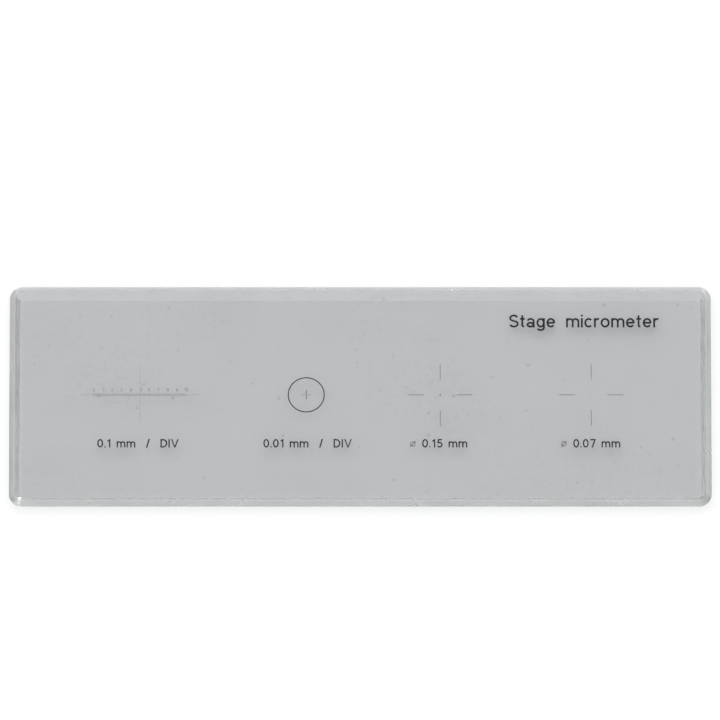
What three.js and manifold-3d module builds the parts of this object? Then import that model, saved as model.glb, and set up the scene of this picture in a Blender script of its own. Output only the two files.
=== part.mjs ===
// A stage micrometer: the glass slide that calibrates the eyepiece scale of a microscope.
// Millimetres. +X runs along the slide, +Y across it and +Z up; the origin is the centre of the underside.
// The top face carries a pattern in thin chromium film: a ruler on cross axes, a ring round a fine cross
// scale, two dots with four arms each, and the legends under them. Each island of film is its own mesh.

import * as THREE from "three";
import { mergeVertices } from "three/addons/utils/BufferGeometryUtils.js";
import Module from "manifold-3d";

// The glass plate
const LENGTH = 76;
const WIDTH = 25;
const THICKNESS = 2;
const CORNER_RADIUS = 1.4;
const BEVEL = 0.5; // round the top face, at 45 degrees
const UNDER_BEVEL = 1.2; // round the underside, at 45 degrees
const CORNER_STEPS = 6;

// The film. It is drawn thicker than the real fraction of a micrometre, so that it is a solid.
const FILM = 0.02;
const PATTERN_Y = 0; // the targets stand in one row along the plate's centre line

// The ruler, centred on its long cross axes
const RULER_X = -23.85;
const RULER_LENGTH = 10;
const RULER_DIVISION = 0.1;
const RULER_TICK = { width: 0.012, every: 0.34, fifth: 0.46, tenth: 0.58 }; // a width and three heights
const RULER_AXIS = { width: 0.015, length: 12.9, height: 6.5 };
const NUMERAL = { cap: 0.34, base: 0.39, pen: 0.075, fiveShift: 0.15 };
const CUT_STEP = 0.0005; // the edges of the crossing bars of a scale fall on multiples of this

// The ring and the fine cross scale. The film carries a line every 0.01 mm; only each tenth is solid here.
const RING_X = -5.85;
const RING = { radius: 2, line: 0.11, segments: 36 };
const CROSS_LENGTH = 1;
const CROSS_DIVISION = 0.1;
const CROSS_TICK = { width: 0.004, height: 0.1 };

// The two dots and the four arms round each
const LARGE_DOT = { name: "large_dot", x: 8.65, diameter: 0.15 };
const SMALL_DOT = { name: "small_dot", x: 25, diameter: 0.07 };
const DOT_SEGMENTS = 10;
const ARM = { from: 1.75, to: 3.5, width: 0.045 };

// The legends. Widths and gaps are shares of the cap height.
const LEGEND = { cap: 0.95, baseline: -6, pen: 0.15, thinPen: 0.06, gap: 0.15, space: 0.4 };
const LEGEND_SHIFT = { ruler: -0.2, ring: 0.15, largeDot: -0.2, smallDot: -0.1 }; // along x from the target
const ARC_STEP_DEG = 22.5;

const GLASS_COLOUR = 0xbfc4c4;
const FILM_COLOUR = 0x1c1d20;

const WELD = 1e-5; // vertices nearer than this are one vertex

const wasm = await Module();
wasm.setup();

// ---- solids ----

// The coordinates of the corners of triangles, three to a triangle, as a geometry.
function geometryOf(corners) {
  const geometry = new THREE.BufferGeometry();
  geometry.setAttribute("position", new THREE.Float32BufferAttribute(corners, 3));
  geometry.computeVertexNormals();
  return geometry;
}

function toManifold(geometry) {
  const bare = geometry.clone();
  bare.deleteAttribute("normal");
  bare.deleteAttribute("uv");
  const merged = mergeVertices(bare, WELD);
  return new wasm.Manifold(
    new wasm.Mesh({
      numProp: 3,
      vertProperties: merged.attributes.position.array,
      triVerts: new Uint32Array(merged.index.array),
    }),
  );
}

function join(geometries) {
  const joined = geometries.map(toManifold).reduce((whole, piece) => whole.add(piece));
  const mesh = joined.getMesh();
  const geometry = new THREE.BufferGeometry();
  geometry.setAttribute("position", new THREE.BufferAttribute(mesh.vertProperties, 3));
  geometry.setIndex(new THREE.BufferAttribute(mesh.triVerts, 1));
  geometry.computeVertexNormals();
  return geometry;
}

// ---- strokes ----

function arc(x, y, radiusX, radiusY, fromDeg, toDeg) {
  const steps = Math.ceil(Math.abs(toDeg - fromDeg) / ARC_STEP_DEG);
  const points = [];
  for (let i = 0; i <= steps; i++) {
    const angle = THREE.MathUtils.degToRad(THREE.MathUtils.lerp(fromDeg, toDeg, i / steps));
    points.push(new THREE.Vector2(x + radiusX * Math.cos(angle), y + radiusY * Math.sin(angle)));
  }
  return points;
}

function ellipse(x, y, radiusX, radiusY) {
  return { points: arc(x, y, radiusX, radiusY, 0, 360).slice(0, -1), closed: true };
}

function point(x, y) {
  return new THREE.Vector2(x, y);
}

function line(x0, y0, x1, y1) {
  return { points: [point(x0, y0), point(x1, y1)] };
}

// One side of a stroke: each centre-line point moved out by a distance, with mitred corners.
function sideOf(points, distance, closed) {
  const count = points.length;
  const normalAfter = (i) => {
    const along = points[(i + 1) % count].clone().sub(points[i]).normalize();
    return new THREE.Vector2(-along.y, along.x);
  };
  return points.map((centre, i) => {
    const before = closed || i > 0 ? normalAfter((i + count - 1) % count) : normalAfter(i);
    const after = closed || i < count - 1 ? normalAfter(i) : before;
    const mitre = before.clone().add(after).divideScalar(1 + before.dot(after));
    return centre.clone().addScaledVector(mitre, distance);
  });
}

function strokeShape({ points, closed }, pen) {
  const left = sideOf(points, pen / 2, closed);
  const right = sideOf(points, -pen / 2, closed);
  if (!closed) return new THREE.Shape([...left, ...right.reverse()]);
  const shape = new THREE.Shape(right);
  shape.holes.push(new THREE.Path(left));
  return shape;
}

// ---- glyphs ----
// Each is drawn on a cap height of 1 with its left edge at x = 0: its width, and the centre lines of
// its strokes. A polygon is filled as it stands.

const TOP = 0.935;
const BOTTOM = 0.065;
const X_HEIGHT = 0.73;

function arch(left, right) {
  const radius = (right - left) / 2;
  const spring = X_HEIGHT - BOTTOM - radius;
  return { points: [...arc(left + radius, spring, radius, radius, 180, 0), point(right, 0)] };
}

const SIX = [ellipse(0.32, 0.31, 0.25, 0.245), { points: arc(0.37, 0.46, 0.3, 0.475, 62, 190) }];

function upsideDown(strokes, width) {
  return strokes.map(({ points, closed }) => ({
    points: points.map((p) => point(width - p.x, 1 - p.y)),
    closed,
  }));
}

const GLYPHS = {
  zero: { width: 0.65, strokes: [ellipse(0.325, 0.5, 0.26, 0.435)] },
  one: { width: 0.42, strokes: [line(0.32, 0, 0.32, 1), line(0.33, 0.91, 0.06, 0.75)] },
  two: {
    width: 0.64,
    strokes: [
      { points: [...arc(0.32, 0.69, 0.25, 0.245, 165, -38), point(0.1, 0.08)] },
      line(0.04, BOTTOM, 0.62, BOTTOM),
    ],
  },
  three: {
    width: 0.64,
    strokes: [
      { points: arc(0.31, 0.73, 0.215, 0.205, 155, -92) },
      { points: arc(0.31, 0.295, 0.255, 0.23, 92, -155) },
    ],
  },
  four: {
    width: 0.66,
    strokes: [line(0.47, 0, 0.47, 1), line(0.46, 0.94, 0.07, 0.3), line(0.02, 0.27, 0.66, 0.27)],
  },
  five: {
    width: 0.65,
    strokes: [
      { points: [point(0.59, TOP), point(0.19, TOP), point(0.13, 0.48)] },
      { points: arc(0.325, 0.33, 0.26, 0.265, 142, -152) },
    ],
  },
  six: { width: 0.64, strokes: SIX },
  seven: { width: 0.64, strokes: [{ points: [point(0.04, TOP), point(0.58, TOP), point(0.25, 0)] }] },
  eight: {
    width: 0.64,
    strokes: [ellipse(0.32, 0.735, 0.215, 0.2), ellipse(0.32, 0.295, 0.255, 0.23)],
  },
  nine: { width: 0.64, strokes: upsideDown(SIX, 0.64) },
  point: { width: 0.14, strokes: [line(0.07, 0, 0.07, 0.14)] },
  slash: { width: 0.38, strokes: [line(0.04, -0.02, 0.34, 1.02)] },
  m: {
    width: 0.98,
    strokes: [line(0.065, 0, 0.065, X_HEIGHT), arch(0.065, 0.49), arch(0.49, 0.915)],
  },
  D: {
    width: 0.76,
    strokes: [
      {
        points: [point(0.065, TOP), point(0.065, BOTTOM), ...arc(0.3, 0.5, 0.39, 0.435, -90, 90)],
        closed: true,
      },
    ],
  },
  I: { width: 0.14, strokes: [line(0.07, 0, 0.07, 1)] },
  V: {
    width: 0.86,
    polygon: [
      point(0, 1),
      point(0.355, 0),
      point(0.505, 0),
      point(0.86, 1),
      point(0.715, 1),
      point(0.43, 0.15),
      point(0.145, 1),
    ],
  },
  diameter: {
    width: 0.74,
    thin: true,
    strokes: [ellipse(0.37, 0.42, 0.27, 0.27), line(0.04, 0.06, 0.7, 0.78)],
  },
};

// ---- film islands ----

const filmGroup = new THREE.Group();
filmGroup.position.z = THICKNESS;

function addFilm(name, geometry, x, y) {
  const material = new THREE.MeshStandardMaterial({ color: FILM_COLOUR, roughness: 0.35, metalness: 0.6 });
  const mesh = new THREE.Mesh(geometry, material);
  mesh.name = name;
  mesh.position.set(x, y, 0);
  filmGroup.add(mesh);
}

function filmOf(shape, curveSegments) {
  return new THREE.ExtrudeGeometry(shape, { depth: FILM, bevelEnabled: false, curveSegments });
}

// A flat bar of film about the centre x, y.
function bar(x, y, width, height) {
  return new THREE.BoxGeometry(width, height, FILM).translate(x, y, FILM / 2);
}

function glyphGeometry(glyph, cap, pen) {
  const shapes = glyph.polygon
    ? [new THREE.Shape(glyph.polygon)]
    : glyph.strokes.map((stroke) => strokeShape(stroke, pen));
  const solids = shapes.map((shape) => filmOf(shape).scale(cap, cap, 1));
  return solids.length > 1 ? join(solids) : solids[0];
}

// A row of glyphs about a centre, named after the legend, their place in it and the glyph.
function addLegend(prefix, names, centreX) {
  const widthOf = (name) => (name === "space" ? LEGEND.space : GLYPHS[name].width);
  const total = names.reduce((sum, name) => sum + widthOf(name) + LEGEND.gap, -LEGEND.gap);
  let x = centreX - (total * LEGEND.cap) / 2;
  let place = 0;
  for (const name of names) {
    if (name !== "space") {
      place += 1;
      const glyph = GLYPHS[name];
      const pen = glyph.thin ? LEGEND.thinPen : LEGEND.pen;
      addFilm(`${prefix}_${place}_${name}`, glyphGeometry(glyph, LEGEND.cap, pen), x, LEGEND.baseline);
    }
    x += (widthOf(name) + LEGEND.gap) * LEGEND.cap;
  }
}

// ---- the targets ----

function tickHeight(sizes, index) {
  if (index % 10 === 0) return sizes.tenth;
  return index % 5 === 0 ? sizes.fifth : sizes.every;
}

function inside(rectangle, x, y) {
  const { width, height } = rectangle;
  return Math.abs(x - rectangle.x) < width / 2 && Math.abs(y - rectangle.y) < height / 2;
}

// One solid of crossing rectangles. Every edge of every rectangle cuts the plane into a grid, and each
// cell that lies in a rectangle becomes film, walled where its neighbour is bare.
function latticeGeometry(rectangles) {
  const cutsOf = (centre, size) => {
    const cuts = rectangles.flatMap((r) => [r[centre] - r[size] / 2, r[centre] + r[size] / 2]);
    const places = cuts.map((cut) => Math.round(cut / CUT_STEP));
    return [...new Set(places)].sort((a, b) => a - b).map((place) => place * CUT_STEP);
  };
  const xs = cutsOf("x", "width");
  const ys = cutsOf("y", "height");
  const filled = (i, j) => {
    if (i < 0 || j < 0 || i > xs.length - 2 || j > ys.length - 2) return false;
    const x = (xs[i] + xs[i + 1]) / 2;
    const y = (ys[j] + ys[j + 1]) / 2;
    return rectangles.some((r) => inside(r, x, y));
  };
  const corners = [];
  const quad = (a, b, c, d) => corners.push(...a, ...b, ...c, ...a, ...c, ...d);
  for (let i = 0; i < xs.length - 1; i++) {
    for (let j = 0; j < ys.length - 1; j++) {
      if (!filled(i, j)) continue;
      const [x0, x1, y0, y1] = [xs[i], xs[i + 1], ys[j], ys[j + 1]];
      quad([x0, y0, FILM], [x1, y0, FILM], [x1, y1, FILM], [x0, y1, FILM]);
      quad([x0, y1, 0], [x1, y1, 0], [x1, y0, 0], [x0, y0, 0]);
      if (!filled(i - 1, j)) quad([x0, y1, 0], [x0, y0, 0], [x0, y0, FILM], [x0, y1, FILM]);
      if (!filled(i + 1, j)) quad([x1, y0, 0], [x1, y1, 0], [x1, y1, FILM], [x1, y0, FILM]);
      if (!filled(i, j - 1)) quad([x0, y0, 0], [x1, y0, 0], [x1, y0, FILM], [x0, y0, FILM]);
      if (!filled(i, j + 1)) quad([x1, y1, 0], [x0, y1, 0], [x0, y1, FILM], [x1, y1, FILM]);
    }
  }
  return geometryOf(corners);
}

function addRuler() {
  const { width, length, height } = RULER_AXIS;
  const rectangles = [
    { x: 0, y: 0, width: length, height: width },
    { x: 0, y: 0, width, height },
  ];
  const divisions = Math.round(RULER_LENGTH / RULER_DIVISION);
  for (let i = 0; i <= divisions; i++) {
    const x = i * RULER_DIVISION - RULER_LENGTH / 2;
    rectangles.push({ x, y: 0, width: RULER_TICK.width, height: tickHeight(RULER_TICK, i) });
  }
  addFilm("ruler", latticeGeometry(rectangles), RULER_X, PATTERN_Y);
}

const DIGITS = ["zero", "one", "two", "three", "four", "five", "six", "seven", "eight", "nine"];

// The numerals stand over each whole millimetre. The five steps aside, clear of the upright axis.
function addRulerNumerals() {
  const { cap, base, pen, fiveShift } = NUMERAL;
  const baseline = PATTERN_Y + base;
  DIGITS.forEach((name, value) => {
    const glyph = GLYPHS[name];
    const shift = name === "five" ? fiveShift : 0;
    const x = RULER_X - RULER_LENGTH / 2 + value + shift - (glyph.width * cap) / 2;
    addFilm(`ruler_numeral_${value}`, glyphGeometry(glyph, cap, pen), x, baseline);
  });
  const tenX = RULER_X + RULER_LENGTH / 2;
  const gap = LEGEND.gap * cap;
  const oneX = tenX - gap / 2 - GLYPHS.one.width * cap;
  addFilm("ruler_numeral_10_one", glyphGeometry(GLYPHS.one, cap, pen), oneX, baseline);
  addFilm("ruler_numeral_10_zero", glyphGeometry(GLYPHS.zero, cap, pen), tenX + gap / 2, baseline);
}

function addRing() {
  const shape = new THREE.Shape().absarc(0, 0, RING.radius, 0, 2 * Math.PI);
  shape.holes.push(new THREE.Path().absarc(0, 0, RING.radius - RING.line, 0, 2 * Math.PI));
  addFilm("ring", filmOf(shape, RING.segments), RING_X, PATTERN_Y);
}

function addFineCross() {
  const { width, height } = CROSS_TICK;
  const rectangles = [
    { x: 0, y: 0, width: CROSS_LENGTH, height: width },
    { x: 0, y: 0, width, height: CROSS_LENGTH },
  ];
  const half = Math.round(CROSS_LENGTH / CROSS_DIVISION / 2);
  for (let i = -half; i <= half; i++) {
    if (i === 0) continue;
    const place = i * CROSS_DIVISION;
    rectangles.push({ x: place, y: 0, width, height });
    rectangles.push({ x: 0, y: place, width: height, height: width });
  }
  addFilm("fine_cross_scale", latticeGeometry(rectangles), RING_X, PATTERN_Y);
}

function addDotTarget({ name, x, diameter }) {
  const dot = new THREE.Shape().absarc(0, 0, diameter / 2, 0, 2 * Math.PI);
  addFilm(name, filmOf(dot, DOT_SEGMENTS), x, PATTERN_Y);
  const middle = (ARM.from + ARM.to) / 2;
  const long = ARM.to - ARM.from;
  addFilm(`${name}_arm_left`, bar(-middle, 0, long, ARM.width), x, PATTERN_Y);
  addFilm(`${name}_arm_right`, bar(middle, 0, long, ARM.width), x, PATTERN_Y);
  addFilm(`${name}_arm_back`, bar(0, middle, ARM.width, long), x, PATTERN_Y);
  addFilm(`${name}_arm_front`, bar(0, -middle, ARM.width, long), x, PATTERN_Y);
}

// ---- the glass plate ----

// The plate's outline moved in by an inset, anticlockwise, at one height.
function plateOutline(inset, z) {
  const radius = CORNER_RADIUS - inset;
  const points = [];
  for (let corner = 0; corner < 4; corner++) {
    const sideX = corner === 0 || corner === 3 ? 1 : -1;
    const sideY = corner < 2 ? 1 : -1;
    for (let step = 0; step <= CORNER_STEPS; step++) {
      const angle = (Math.PI / 2) * (corner + step / CORNER_STEPS);
      const x = sideX * (LENGTH / 2 - CORNER_RADIUS) + radius * Math.cos(angle);
      const y = sideY * (WIDTH / 2 - CORNER_RADIUS) + radius * Math.sin(angle);
      points.push([x, y, z]);
    }
  }
  return points;
}

// Outlines joined from the underside to the top, and closed with a flat face at each end.
function plateGeometry() {
  const outlines = [
    plateOutline(UNDER_BEVEL, 0),
    plateOutline(0, UNDER_BEVEL),
    plateOutline(0, THICKNESS - BEVEL),
    plateOutline(BEVEL, THICKNESS),
  ];
  const corners = [];
  const triangle = (a, b, c) => corners.push(...a, ...b, ...c);
  const underside = outlines[0];
  const top = outlines[outlines.length - 1];
  const count = top.length;
  for (let i = 0; i < count; i++) {
    const next = (i + 1) % count;
    for (let level = 1; level < outlines.length; level++) {
      const low = outlines[level - 1];
      const high = outlines[level];
      triangle(low[i], low[next], high[next]);
      triangle(low[i], high[next], high[i]);
    }
    if (i === 0 || next === 0) continue;
    triangle(top[0], top[i], top[next]);
    triangle(underside[0], underside[next], underside[i]);
  }
  return geometryOf(corners);
}

const plate = new THREE.Mesh(
  plateGeometry(),
  new THREE.MeshStandardMaterial({ color: GLASS_COLOUR, roughness: 0.05, metalness: 0 }),
);
plate.name = "glass_plate";

addRuler();
addRulerNumerals();
addRing();
addFineCross();
addDotTarget(LARGE_DOT);
addDotTarget(SMALL_DOT);

const MILLIMETRES = ["space", "m", "m"];
const PER_DIVISION = [...MILLIMETRES, "space", "space", "slash", "space", "space", "D", "I", "V"];
const TENTH = ["zero", "point", "one"];
const HUNDREDTH = ["zero", "point", "zero", "one"];
const LARGE_DIAMETER = ["diameter", "space", "zero", "point", "one", "five"];
const SMALL_DIAMETER = ["diameter", "space", "zero", "point", "zero", "seven"];
addLegend("ruler_legend", [...TENTH, ...PER_DIVISION], RULER_X + LEGEND_SHIFT.ruler);
addLegend("ring_legend", [...HUNDREDTH, ...PER_DIVISION], RING_X + LEGEND_SHIFT.ring);
addLegend("large_dot_legend", [...LARGE_DIAMETER, ...MILLIMETRES], LARGE_DOT.x + LEGEND_SHIFT.largeDot);
addLegend("small_dot_legend", [...SMALL_DIAMETER, ...MILLIMETRES], SMALL_DOT.x + LEGEND_SHIFT.smallDot);

const stageMicrometer = new THREE.Group();
stageMicrometer.add(plate, filmGroup);

export default stageMicrometer;
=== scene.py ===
"""Looks of the stage micrometer: a bevelled glass slide with a dark film pattern on its top face.

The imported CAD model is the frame. The glass plate is rebuilt here with rounded arrises and ground,
slightly uneven edges; the fine cross scale gets its lines of 0.01 mm, but for those nearest its
middle; the title is drawn letter by letter.
Every other island of film is the CAD node itself, with a better material. Metres, +Z up.
"""

import math

import bmesh
import bpy
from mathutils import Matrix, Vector, noise


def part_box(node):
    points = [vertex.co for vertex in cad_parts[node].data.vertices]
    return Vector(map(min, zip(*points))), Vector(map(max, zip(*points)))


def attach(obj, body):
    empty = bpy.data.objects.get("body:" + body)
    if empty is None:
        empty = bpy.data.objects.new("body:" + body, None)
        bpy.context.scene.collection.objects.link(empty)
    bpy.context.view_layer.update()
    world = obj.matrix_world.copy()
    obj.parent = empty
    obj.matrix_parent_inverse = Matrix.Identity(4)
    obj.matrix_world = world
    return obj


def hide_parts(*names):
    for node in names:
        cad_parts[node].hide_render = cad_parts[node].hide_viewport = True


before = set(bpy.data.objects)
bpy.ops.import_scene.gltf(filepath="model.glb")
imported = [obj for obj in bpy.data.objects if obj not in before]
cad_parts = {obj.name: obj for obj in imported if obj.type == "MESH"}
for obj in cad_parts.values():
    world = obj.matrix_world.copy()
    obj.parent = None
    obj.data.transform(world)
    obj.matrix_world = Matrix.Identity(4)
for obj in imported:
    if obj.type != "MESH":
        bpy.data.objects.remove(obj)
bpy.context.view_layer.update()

MM = 0.001

# ---- places and sizes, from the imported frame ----

PLATE_LOW, PLATE_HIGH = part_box("glass_plate")
PLATE_TOP = PLATE_HIGH.z
FILM_LOW, FILM_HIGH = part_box("ring")
FILM_THICKNESS = FILM_HIGH.z - FILM_LOW.z
RING_CENTRE = (FILM_LOW + FILM_HIGH) / 2

CORNER_RADIUS = 1.4 * MM
BEVEL = 0.5 * MM
UNDER_BEVEL = 1.2 * MM


def object_from(name, mesh, *materials):
    """A new object in the scene, made from a bmesh, which is freed."""
    made = bpy.data.objects.new(name, bpy.data.meshes.new(name))
    mesh.to_mesh(made.data)
    mesh.free()
    for material in materials:
        made.data.materials.append(material)
    bpy.context.collection.objects.link(made)
    return made


# ---- node materials ----

class Nodes:
    """A material and short ways to add nodes to it."""

    def __init__(self, name):
        self.material = bpy.data.materials.new(name)
        self.material.use_nodes = True
        self.tree = self.material.node_tree
        self.tree.nodes.clear()
        self.output = self.tree.nodes.new("ShaderNodeOutputMaterial")
        self.place = self.add("TexCoord").outputs["Object"]
        at = self.add("SeparateXYZ", {0: self.place})
        # Flat coordinates that differ between the top face and the underside
        along = self.maths("MULTIPLY_ADD", at.outputs["Z"], 37.0, at.outputs["X"])
        self.flat = self.add("CombineXYZ", {"X": along, "Y": at.outputs["Y"]}).outputs[0]

    def add(self, kind, inputs=None, **settings):
        """A node of this kind. inputs holds values or output sockets, by name or number."""
        made = self.tree.nodes.new("ShaderNode" + kind)
        for key, value in settings.items():
            setattr(made, key, value)
        for key, value in (inputs or {}).items():
            if isinstance(value, bpy.types.NodeSocket):
                self.tree.links.new(value, made.inputs[key])
            else:
                made.inputs[key].default_value = value
        return made

    def maths(self, operation, *values):
        return self.add("Math", dict(enumerate(values)), operation=operation).outputs[0]

    def noise(self, scale, detail=3.0, rough=0.55, stretch=(1, 1, 1), seed=0.0):
        """Fractal noise with this many features to a metre, from 0 to 1."""
        placed = self.add("Mapping", {"Vector": self.place, "Scale": stretch, "Location": (seed,) * 3})
        inputs = {"Vector": placed.outputs[0], "Scale": scale, "Detail": detail, "Roughness": rough}
        return self.add("TexNoise", inputs).outputs["Fac"]

    def band(self, value, low, high, to_low=0.0, to_high=1.0):
        """value from low to high, spread smoothly over to_low to to_high."""
        inputs = {0: value, 1: low, 2: high, 3: to_low, 4: to_high}
        return self.add("MapRange", inputs, interpolation_type="SMOOTHSTEP").outputs[0]

    def blend(self, share, first, second):
        inputs = {0: share, 6: first, 7: second}
        return self.add("Mix", inputs, data_type="RGBA").outputs[2]

    def shade(self, surface):
        self.tree.links.new(surface, self.output.inputs["Surface"])
        return self.material


def grey(value):
    return (value, value, value, 1)


def specks(nodes, scale, share, size, seed):
    """Round specks at random places: 1 on a speck and 0 off it. share of the cells hold one."""
    placed = nodes.add("Mapping", {"Vector": nodes.flat, "Location": (seed, seed, 0)})
    inputs = {"Vector": placed.outputs[0], "Scale": scale}
    cells = nodes.add("TexVoronoi", inputs, voronoi_dimensions="2D")
    tint = nodes.add("SeparateColor", {0: cells.outputs["Color"]})
    chosen = nodes.maths("GREATER_THAN", tint.outputs[0], 1 - share)
    radius = nodes.maths("MULTIPLY_ADD", tint.outputs[1], size * 0.7, size * 0.3)
    near = nodes.maths("DIVIDE", cells.outputs["Distance"], radius)
    return nodes.maths("MULTIPLY", chosen, nodes.band(near, 0.4, 1.0, 1.0, 0.0))


def scratches(nodes, angle, seed):
    """Short hairline scratches along one direction: 1 on a scratch and 0 off it."""
    turned = nodes.add(
        "Mapping",
        {"Vector": nodes.flat, "Rotation": (0, 0, angle), "Location": (seed, seed, 0)},
    ).outputs[0]
    bend = nodes.add("TexNoise", {"Vector": turned, "Scale": 60.0, "Detail": 1.0}).outputs["Fac"]
    at = nodes.add("SeparateXYZ", {0: turned})
    across = nodes.maths("MULTIPLY_ADD", bend, 0.006, at.outputs["Y"])
    lane = nodes.add("CombineXYZ", {"X": nodes.maths("MULTIPLY", at.outputs["X"], 0.13), "Y": across})
    inputs = {"Vector": lane.outputs[0], "Scale": 900.0}
    cells = nodes.add("TexVoronoi", inputs, voronoi_dimensions="2D")
    tint = nodes.add("SeparateColor", {0: cells.outputs["Color"]})
    chosen = nodes.maths("GREATER_THAN", tint.outputs[0], 0.97)
    return nodes.maths("MULTIPLY", chosen, nodes.band(cells.outputs["Distance"], 0.02, 0.055, 1.0, 0.0))


GLASS_IOR = 1.52
BUMP_DEPTH = 0.02 * MM  # of the glass, polished and ground, and of the floor
FILM_BUMP_DEPTH = 0.004 * MM
GLASS_TINT = (0.668, 0.670, 0.680, 1)
SMUDGED_TINT = (0.38, 0.38, 0.39, 1)
# Each pair is the ground glass as it was made and where it is worn
BEVEL_TINTS = ((0.60, 0.617, 0.612, 1), (0.50, 0.515, 0.510, 1))
WALL_TINTS = ((0.66, 0.69, 0.685, 1), (0.56, 0.585, 0.58, 1))
CLEAR_SHADOW = (0.86, 0.86, 0.86, 1)
BEVEL_SHADOW = (0.80, 0.80, 0.80, 1)
WALL_SHADOW = (0.95, 0.95, 0.95, 1)


def let_light_through(nodes, glass, shadow):
    """Lamps and soft light reach the floor through the glass, so its shadow is that of a clear plate."""
    clear = nodes.add("BsdfTransparent", {"Color": shadow}).outputs[0]
    path = nodes.add("LightPath")
    soft = nodes.add("MixShader", {0: path.outputs["Is Diffuse Ray"], 1: glass, 2: clear}).outputs[0]
    return nodes.add("MixShader", {0: path.outputs["Is Shadow Ray"], 1: soft, 2: clear}).outputs[0]


def polished_glass():
    """Clear, faintly grey glass with finger smudges, wiping streaks and dust."""
    nodes = Nodes("polished_glass")
    cloud = nodes.noise(70, 5, 0.6, seed=0.31)
    streak = nodes.noise(190, 4, 0.6, stretch=(0.3, 1.8, 1), seed=1.7)
    grain = nodes.noise(1500, 3, 0.6, seed=0.9)
    dusty = nodes.band(nodes.noise(45, 2, 0.5, seed=4.2), 0.45, 0.62)
    smudge = nodes.maths("MULTIPLY", nodes.band(cloud, 0.42, 0.68), nodes.band(streak, 0.3, 0.65))
    smudge = nodes.maths("MULTIPLY", smudge, nodes.band(grain, 0.35, 0.65, 0.35, 1.0))
    speckle = nodes.maths("MULTIPLY", dusty, nodes.band(grain, 0.52, 0.72))
    dust = nodes.maths(
        "MAXIMUM",
        specks(nodes, scale=260, share=0.2, size=0.085, seed=0.2),
        specks(nodes, scale=800, share=0.09, size=0.13, seed=0.7),
    )
    scratch = nodes.maths(
        "MAXIMUM", scratches(nodes, angle=0.15, seed=0.3), scratches(nodes, angle=1.9, seed=0.6)
    )
    haze = nodes.maths("ADD", nodes.maths("MULTIPLY", smudge, 0.16), nodes.maths("MULTIPLY", speckle, 0.18))
    marks = nodes.maths("MAXIMUM", dust, nodes.maths("MULTIPLY", scratch, 0.8))
    dirt = nodes.maths("MAXIMUM", haze, nodes.maths("MULTIPLY", marks, 0.55))
    colour = nodes.blend(dirt, GLASS_TINT, SMUDGED_TINT)
    roughness = nodes.maths("MULTIPLY_ADD", dirt, 0.12, 0.012)
    bump = nodes.add("Bump", {"Height": dirt, "Strength": 0.06, "Distance": BUMP_DEPTH})
    glass = nodes.add(
        "BsdfPrincipled",
        {
            "Base Color": colour,
            "Roughness": roughness,
            "IOR": GLASS_IOR,
            "Transmission Weight": 1.0,
            "Normal": bump.outputs[0],
        },
    ).outputs[0]
    return nodes.shade(let_light_through(nodes, glass, CLEAR_SHADOW))


def ground_glass(name, tints, transmission, roughness, shadow):
    """Finely ground glass, which scatters light. Its tint is faintly green, as glass is along its length."""
    nodes = Nodes(name)
    grit = nodes.noise(9000, 3, 0.6, seed=0.4)
    patch = nodes.noise(420, 4, 0.6, stretch=(1, 1, 3), seed=2.3)
    grind = nodes.noise(2500, 2, 0.5, stretch=(0.2, 0.2, 4), seed=1.1)
    colour = nodes.blend(nodes.band(patch, 0.3, 0.7, 0.0, 0.35), *tints)
    uneven = nodes.maths("MULTIPLY_ADD", nodes.band(patch, 0.3, 0.7), 0.14, roughness)
    height = nodes.maths("MULTIPLY_ADD", grind, 0.6, grit)
    bump = nodes.add("Bump", {"Height": height, "Strength": 0.12, "Distance": BUMP_DEPTH})
    glass = nodes.add(
        "BsdfPrincipled",
        {
            "Base Color": colour,
            "Roughness": uneven,
            "IOR": GLASS_IOR,
            "Transmission Weight": transmission,
            "Normal": bump.outputs[0],
        },
    ).outputs[0]
    return nodes.shade(let_light_through(nodes, glass, shadow))


def chromium_film():
    """Dark anti-reflective chromium, a satin film with a fine grain and a few worn pinholes."""
    nodes = Nodes("chromium_film")
    grain = nodes.noise(14000, 3, 0.6, seed=0.6)
    mottle = nodes.noise(1500, 3, 0.55, seed=1.9)
    worn = specks(nodes, scale=9000, share=0.05, size=0.22, seed=0.45)
    colour = nodes.blend(nodes.band(mottle, 0.3, 0.7), (0.012, 0.012, 0.014, 1), (0.022, 0.022, 0.025, 1))
    colour = nodes.blend(nodes.maths("MULTIPLY", worn, 0.5), colour, (0.12, 0.12, 0.13, 1))
    roughness = nodes.band(grain, 0.25, 0.75, 0.34, 0.52)
    bump = nodes.add("Bump", {"Height": grain, "Strength": 0.15, "Distance": FILM_BUMP_DEPTH})
    film = nodes.add(
        "BsdfPrincipled",
        {
            "Base Color": colour,
            "Roughness": roughness,
            "Metallic": 0.25,
            "Specular IOR Level": 0.35,
            "Normal": bump.outputs[0],
        },
    )
    return nodes.shade(film.outputs[0])


def pale_floor():
    nodes = Nodes("pale_floor")
    mottle = nodes.noise(14, 4, 0.5, seed=0.2)
    grain = nodes.noise(1800, 3, 0.6, seed=0.8)
    colour = nodes.blend(mottle, grey(0.80), grey(0.83))
    bump = nodes.add("Bump", {"Height": grain, "Strength": 0.05, "Distance": BUMP_DEPTH})
    inputs = {"Base Color": colour, "Roughness": 0.9, "Specular IOR Level": 0.1, "Normal": bump.outputs[0]}
    return nodes.shade(nodes.add("BsdfPrincipled", inputs).outputs[0])


# ---- the glass plate ----

CORNER_STEPS = 14
EDGE_STEP = 0.82 * MM  # between points along a straight edge
# How far each arris is rounded back along its two faces: under half the height of the wall between
# the bevels, or the wall vanishes
ARRIS = 0.12 * MM
ARRIS_STEPS = 5
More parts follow.
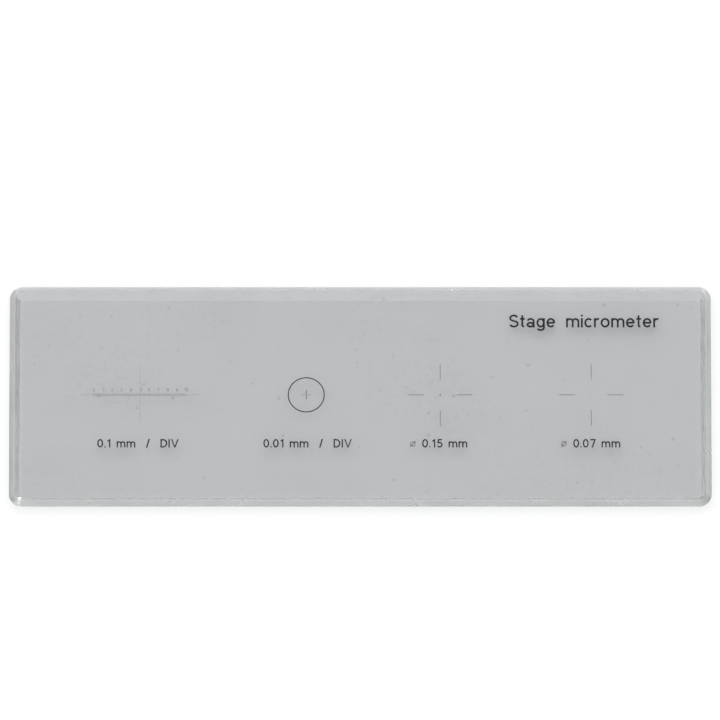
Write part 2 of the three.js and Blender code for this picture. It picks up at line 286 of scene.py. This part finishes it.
# The outer part of each flat face: more than ARRIS, and with UNDER_BEVEL less than CORNER_RADIUS
FACE_RIM = 0.19 * MM
WOBBLE = 0.008 * MM  # how unevenly the bevels were ground
WOBBLE_SCALE = 900  # waves to a metre
WOBBLE_PLACE = Vector((7.3, 1.9, 4.1))
FLAT_NORMAL = 0.999  # a flat face's normal is at least this upright
BEVEL_NORMAL = 0.3  # and a top bevel's at least this
POLISHED, GROUND_BEVEL, GROUND_WALL = range(3)  # the plate's material slots


def plate_loop(inset):
    """Points round the plate's outline moved in by inset, anticlockwise, with evenly stepped edges."""
    low = PLATE_LOW.xy + Vector((inset, inset))
    high = PLATE_HIGH.xy - Vector((inset, inset))
    radius = CORNER_RADIUS - inset
    centres = (
        Vector((high.x - radius, high.y - radius)),
        Vector((low.x + radius, high.y - radius)),
        Vector((low.x + radius, low.y + radius)),
        Vector((high.x - radius, low.y + radius)),
    )
    points = []
    for corner, centre in enumerate(centres):
        for step in range(CORNER_STEPS + 1):
            angle = math.pi / 2 * (corner + step / CORNER_STEPS)
            points.append(centre + radius * Vector((math.cos(angle), math.sin(angle))))
        next_centre = centres[(corner + 1) % 4]
        start, end = points[-1], next_centre + radius * Vector((math.cos(angle), math.sin(angle)))
        steps = round((next_centre - centre).length / EDGE_STEP)
        points += [start.lerp(end, i / steps) for i in range(1, steps)]
    return points


def rounded(profile):
    """The profile with each inner corner replaced by a short curve."""
    made = [profile[0]]
    for before, corner, after in zip(profile, profile[1:], profile[2:]):
        start = corner + (before - corner).normalized() * ARRIS
        end = corner + (after - corner).normalized() * ARRIS
        for i in range(ARRIS_STEPS + 1):
            t = i / ARRIS_STEPS
            made.append(start * (1 - t) ** 2 + corner * 2 * t * (1 - t) + end * t**2)
    return made + [profile[-1]]


def build_plate():
    """The plate, as rings of points stacked from the underside to the top face."""
    corners = (
        (UNDER_BEVEL + FACE_RIM, 0),
        (UNDER_BEVEL, 0),
        (0, UNDER_BEVEL),
        (0, PLATE_TOP - BEVEL),
        (BEVEL, PLATE_TOP),
        (BEVEL + FACE_RIM, PLATE_TOP),
    )
    profile = rounded([Vector(corner) for corner in corners])
    mesh = bmesh.new()
    rings = []
    for level, (inset, z) in enumerate(profile):
        ground = inset > ARRIS and 0 < level < len(profile) - 1
        ring = []
        for at in plate_loop(inset):
            uneven = noise.noise(Vector((at.x, at.y, z)) * WOBBLE_SCALE + WOBBLE_PLACE)
            inward = -Vector((at.x / PLATE_HIGH.x, at.y / PLATE_HIGH.y)).normalized()
            at = at + inward * WOBBLE * ground * (0.5 + 0.5 * uneven)
            ring.append(mesh.verts.new((at.x, at.y, z)))
        rings.append(ring)
    count = len(rings[0])
    for low, high in zip(rings, rings[1:]):
        for i in range(count):
            after = (i + 1) % count
            mesh.faces.new((low[i], low[after], high[after], high[i]))
    mesh.faces.new(rings[0][::-1])
    mesh.faces.new(rings[-1])
    mesh.normal_update()
    for face in mesh.faces:
        face.smooth = True
        face.material_index = GROUND_BEVEL if face.normal.z > BEVEL_NORMAL else GROUND_WALL
        if abs(face.normal.z) > FLAT_NORMAL:
            face.material_index = POLISHED
            for edge in face.edges:
                edge.smooth = False
    made = object_from(
        "glass_body",
        mesh,
        polished_glass(),
        ground_glass("ground_bevels", BEVEL_TINTS, transmission=0.68, roughness=0.27, shadow=BEVEL_SHADOW),
        ground_glass("ground_walls", WALL_TINTS, transmission=0.94, roughness=0.10, shadow=WALL_SHADOW),
    )
    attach(made, "root")
    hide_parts("glass_plate")


# ---- film islands made here ----

FILM_MATERIAL = chromium_film()


def film_object(name, mesh):
    """A film island from a closed bmesh."""
    bmesh.ops.recalc_face_normals(mesh, faces=mesh.faces)
    made = object_from(name, mesh, FILM_MATERIAL)
    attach(made, "root")
    return made


def thicken(mesh):
    """Turns a flat sheet of faces into a closed solid from the glass to the top of the film."""
    for vertex in mesh.verts:
        vertex.co.z = PLATE_TOP
    made = bmesh.ops.extrude_face_region(mesh, geom=mesh.faces[:], use_keep_orig=True)
    for item in made["geom"]:
        if isinstance(item, bmesh.types.BMVert):
            item.co.z = PLATE_TOP + FILM_THICKNESS
    return mesh


def lattice(rectangles):
    """A flat sheet of crossing rectangles, each (x, y, width, height) about its centre, in metres."""
    step = 0.0005 * MM

    def cuts(centre, size):
        places = {round((r[centre] + side * r[size] / 2) / step) for r in rectangles for side in (-1, 1)}
        return [place * step for place in sorted(places)]

    xs, ys = cuts(0, 2), cuts(1, 3)
    mesh = bmesh.new()
    corner = {}

    def vertex(i, j):
        if (i, j) not in corner:
            corner[i, j] = mesh.verts.new((RING_CENTRE.x + xs[i], RING_CENTRE.y + ys[j], 0))
        return corner[i, j]

    for i in range(len(xs) - 1):
        x = (xs[i] + xs[i + 1]) / 2
        here = [r for r in rectangles if abs(x - r[0]) < r[2] / 2]
        for j in range(len(ys) - 1):
            y = (ys[j] + ys[j + 1]) / 2
            if any(abs(y - r[1]) < r[3] / 2 for r in here):
                mesh.faces.new((vertex(i, j), vertex(i + 1, j), vertex(i + 1, j + 1), vertex(i, j + 1)))
    return mesh


CROSS_LENGTH = 1.0 * MM
CROSS_DIVISION = 0.01 * MM
CROSS_LINE = 0.004 * MM
CROSS_HEIGHTS = {10: 0.12 * MM, 5: 0.09 * MM, 1: 0.06 * MM}  # of every tenth, fifth and other line


def build_fine_cross():
    """The fine cross scale, without the lines nearest its middle, which would run into each other."""
    rectangles = [(0, 0, CROSS_LENGTH, CROSS_LINE), (0, 0, CROSS_LINE, CROSS_LENGTH)]
    half = round(CROSS_LENGTH / CROSS_DIVISION / 2)
    clear = round(CROSS_HEIGHTS[10] / 2 / CROSS_DIVISION)
    for i in range(-half, half + 1):
        if abs(i) <= clear:
            continue
        height = next(h for every, h in CROSS_HEIGHTS.items() if i % every == 0)
        rectangles.append((i * CROSS_DIVISION, 0, CROSS_LINE, height))
        rectangles.append((0, i * CROSS_DIVISION, height, CROSS_LINE))
    made = film_object("fine_cross_lines", thicken(lattice(rectangles)))
    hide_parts("fine_cross_scale")


# ---- the title ----
# Each glyph is drawn on a cap height of 1 with its left edge at x = 0: its width, and its strokes as
# centre lines. A stroke that ends where it began is closed.

PEN = 0.14
HALF_PEN = PEN / 2
X_HEIGHT = 0.73
ARC_STEP = math.radians(9)


def arc(x, y, radius_x, radius_y, first, last):
    first, last = math.radians(first), math.radians(last)
    steps = math.ceil(abs(last - first) / ARC_STEP)
    angles = [first + (last - first) * i / steps for i in range(steps + 1)]
    return [Vector((x + radius_x * math.cos(a), y + radius_y * math.sin(a))) for a in angles]


def line(*numbers):
    return [Vector(pair) for pair in zip(numbers[::2], numbers[1::2])]


def arch(left, right):
    radius = (right - left) / 2
    return arc(left + radius, X_HEIGHT - HALF_PEN - radius, radius, radius, 180, 0) + line(right, 0)


GLYPHS = {
    "S": (0.70, [arc(0.35, 0.725, 0.265, 0.21, 18, 232) + arc(0.355, 0.28, 0.285, 0.215, 52, -162)]),
    "t": (
        0.36,
        [
            line(0.16, 0.95, 0.16, 0.2) + arc(0.28, 0.195, 0.12, 0.13, 180, 282),
            line(0, 0.665, 0.34, 0.665),
        ],
    ),
    "a": (
        0.62,
        [
            arc(0.30, 0.46, 0.225, 0.205, 160, 0) + line(0.525, 0.13, 0.56, 0),
            arc(0.285, 0.215, 0.215, 0.15, 0, 360),
        ],
    ),
    "g": (
        0.62,
        [
            arc(0.30, 0.365, 0.235, 0.30, 0, 360),
            line(0.545, X_HEIGHT, 0.545, 0.0) + arc(0.30, -0.01, 0.245, 0.20, 0, -152),
        ],
    ),
    "e": (0.65, [arc(0.32, 0.365, 0.255, 0.30, 0, 322), line(0.07, 0.365, 0.60, 0.365)]),
    "m": (0.98, [line(HALF_PEN, 0, HALF_PEN, X_HEIGHT), arch(HALF_PEN, 0.49), arch(0.49, 0.915)]),
    "i": (PEN, [line(HALF_PEN, 0, HALF_PEN, X_HEIGHT)]),
    "i_dot": (PEN, [line(HALF_PEN, 0.86, HALF_PEN, 1.0)]),
    "c": (0.59, [arc(0.315, 0.365, 0.25, 0.30, 42, 318)]),
    "r": (0.38, [line(HALF_PEN, 0, HALF_PEN, X_HEIGHT), arc(0.315, 0.42, 0.25, 0.245, 180, 72)]),
    "o": (0.66, [arc(0.33, 0.365, 0.265, 0.30, 0, 360)]),
}


def sides(points, closed):
    """The two edges of a stroke, as lists of points with mitred corners."""
    if closed:
        points = points[:-1]
    count = len(points)
    left, right = [], []
    for i, at in enumerate(points):
        before = points[i - 1] if closed or i > 0 else None
        after = points[(i + 1) % count] if closed or i < count - 1 else None
        along = [(at - before).normalized()] if before is not None else []
        along += [(after - at).normalized()] if after is not None else []
        normals = [Vector((-a.y, a.x)) for a in along]
        if len(normals) == 1:
            normals *= 2
        mitre = (normals[0] + normals[1]) / (1 + normals[0].dot(normals[1])) * HALF_PEN
        left.append(at + mitre)
        right.append(at - mitre)
    return left, right


def stroke_object(points, place, cap):
    """One stroke as a closed solid of its own."""
    closed = (points[0] - points[-1]).length < 1e-6
    left, right = sides(points, closed)
    mesh = bmesh.new()
    rows = [
        [mesh.verts.new((place.x + p.x * cap, place.y + p.y * cap, 0)) for p in row]
        for row in (left, right)
    ]
    count = len(rows[0])
    for i in range(count if closed else count - 1):
        after = (i + 1) % count
        mesh.faces.new((rows[0][i], rows[1][i], rows[1][after], rows[0][after]))
    thicken(mesh)
    bmesh.ops.recalc_face_normals(mesh, faces=mesh.faces)
    return object_from("stroke", mesh)


def united(objects):
    """The bmesh of several overlapping solids joined into one."""
    first = objects[0]
    for other in objects[1:]:
        cut = first.modifiers.new("join", "BOOLEAN")
        cut.operation, cut.solver, cut.object = "UNION", "EXACT", other
    bpy.context.view_layer.update()
    evaluated = first.evaluated_get(bpy.context.evaluated_depsgraph_get())
    joined = bpy.data.meshes.new_from_object(evaluated)
    mesh = bmesh.new()
    mesh.from_mesh(joined)
    for item in objects:
        bpy.data.objects.remove(item)
    bmesh.ops.remove_doubles(mesh, verts=mesh.verts, dist=1e-8)
    bmesh.ops.dissolve_limit(mesh, angle_limit=math.radians(0.5), verts=mesh.verts, edges=mesh.edges)
    return mesh


TITLE = ("S", "t", "a", "g", "e", " ", "m", "i", "c", "r", "o", "m", "e", "t", "e", "r")
TITLE_CAP = 1.46 * MM
TITLE_RIGHT = 32.3 * MM
TITLE_BASELINE = 7.7 * MM
TITLE_GAP = 0.12
TITLE_SPACE = 0.56


def build_title():
    width_of = {name: width for name, (width, _) in GLYPHS.items()}
    width_of[" "] = TITLE_SPACE
    total = sum(width_of[name] + TITLE_GAP for name in TITLE) - TITLE_GAP
    x = TITLE_RIGHT - total * TITLE_CAP
    for number, name in enumerate(TITLE, 1):
        islands = {" ": (), "i": ("i", "i_dot")}.get(name, (name,))
        for island in islands:
            place = Vector((x, TITLE_BASELINE))
            strokes = [stroke_object(points, place, TITLE_CAP) for points in GLYPHS[island][1]]
            film_object(f"title_{number}_{island}", united(strokes))
        x += (width_of[name] + TITLE_GAP) * TITLE_CAP


# ---- floor, light and camera ----

FLOOR_GAP = 0.03 * MM
FLOOR_REACH = 6.0


def build_stage():
    """A wide pale floor a hair below the glass, since a real slide never lies on a surface all over."""
    mesh = bmesh.new()
    bmesh.ops.create_grid(mesh, x_segments=2, y_segments=2, size=FLOOR_REACH)
    floor = object_from("floor", mesh, pale_floor())
    floor.location.z = -FLOOR_GAP


def add_light(name, place, size, power, aim=(0, 0, 0), mirrored=False):
    """A soft box. Only a mirrored one shows as a highlight, so that the flat glass stays clear."""
    data = bpy.data.lights.new(name, "AREA")
    data.shape = "RECTANGLE"
    data.size, data.size_y = size
    data.energy = power
    light = bpy.data.objects.new(name, data)
    light.location = place
    light.rotation_euler = (Vector(aim) - Vector(place)).to_track_quat("-Z", "Y").to_euler()
    light.visible_camera = False
    light.visible_glossy = mirrored
    light.visible_transmission = False
    bpy.context.collection.objects.link(light)


ROOM_COLOUR = (0.98, 0.99, 1.0, 1)
ROOM_LEFT, ROOM_RIGHT = 0.72, 0.57  # how strong the room's light is on each side


def build_light():
    """A pale room, brighter on the left, a wide soft box overhead and a small low lamp behind a corner."""
    world = bpy.data.worlds.new("studio")
    world.use_nodes = True
    tree = world.node_tree
    background = tree.nodes["Background"]
    background.inputs["Color"].default_value = ROOM_COLOUR
    toward = tree.nodes.new("ShaderNodeTexCoord")
    along = tree.nodes.new("ShaderNodeSeparateXYZ")
    strength = tree.nodes.new("ShaderNodeMapRange")
    spread = {"From Min": -1.0, "From Max": 1.0, "To Min": ROOM_LEFT, "To Max": ROOM_RIGHT}
    for key, value in spread.items():
        strength.inputs[key].default_value = value
    tree.links.new(toward.outputs["Generated"], along.inputs[0])
    tree.links.new(along.outputs["X"], strength.inputs["Value"])
    tree.links.new(strength.outputs["Result"], background.inputs["Strength"])
    bpy.context.scene.world = world
    add_light("overhead", (-0.03, 0.01, 0.50), (0.36, 0.50), 1.85, aim=(-0.03, 0.01, 0))
    add_light("corner", (0.54, 0.85, 0.07), (0.16, 0.08), 4.8, aim=(0.037, 0.012, 0.002), mirrored=True)


ELEVATION = math.radians(71.5)
DISTANCE = 2.5
FIELD = 78.05 * MM  # what the frame spans at the slide
SENSOR = 36.0
# A little behind the middle, so the slide lies below the frame's centre
AIM = Vector((-0.03 * MM, 4.65 * MM, 0.0))


def build_camera():
    data = bpy.data.cameras.new("camera")
    data.lens = SENSOR * DISTANCE / FIELD
    data.sensor_width = SENSOR
    camera = bpy.data.objects.new("camera", data)
    camera.location = AIM + DISTANCE * Vector((0, -math.cos(ELEVATION), math.sin(ELEVATION)))
    camera.rotation_euler = (math.pi / 2 - ELEVATION, 0, 0)
    data.clip_start, data.clip_end = 0.5, 30
    bpy.context.collection.objects.link(camera)
    bpy.context.scene.camera = camera


for name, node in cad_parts.items():
    if name != "glass_plate":
        for material_slot in node.material_slots:
            material_slot.material = FILM_MATERIAL

build_camera()
build_stage()
build_light()
build_plate()
build_fine_cross()
build_title()

scene = bpy.context.scene
scene.view_settings.view_transform = "Standard"
scene.cycles.max_bounces = 24
scene.cycles.glossy_bounces = 16
scene.cycles.transmission_bounces = 24
scene.cycles.transparent_max_bounces = 16
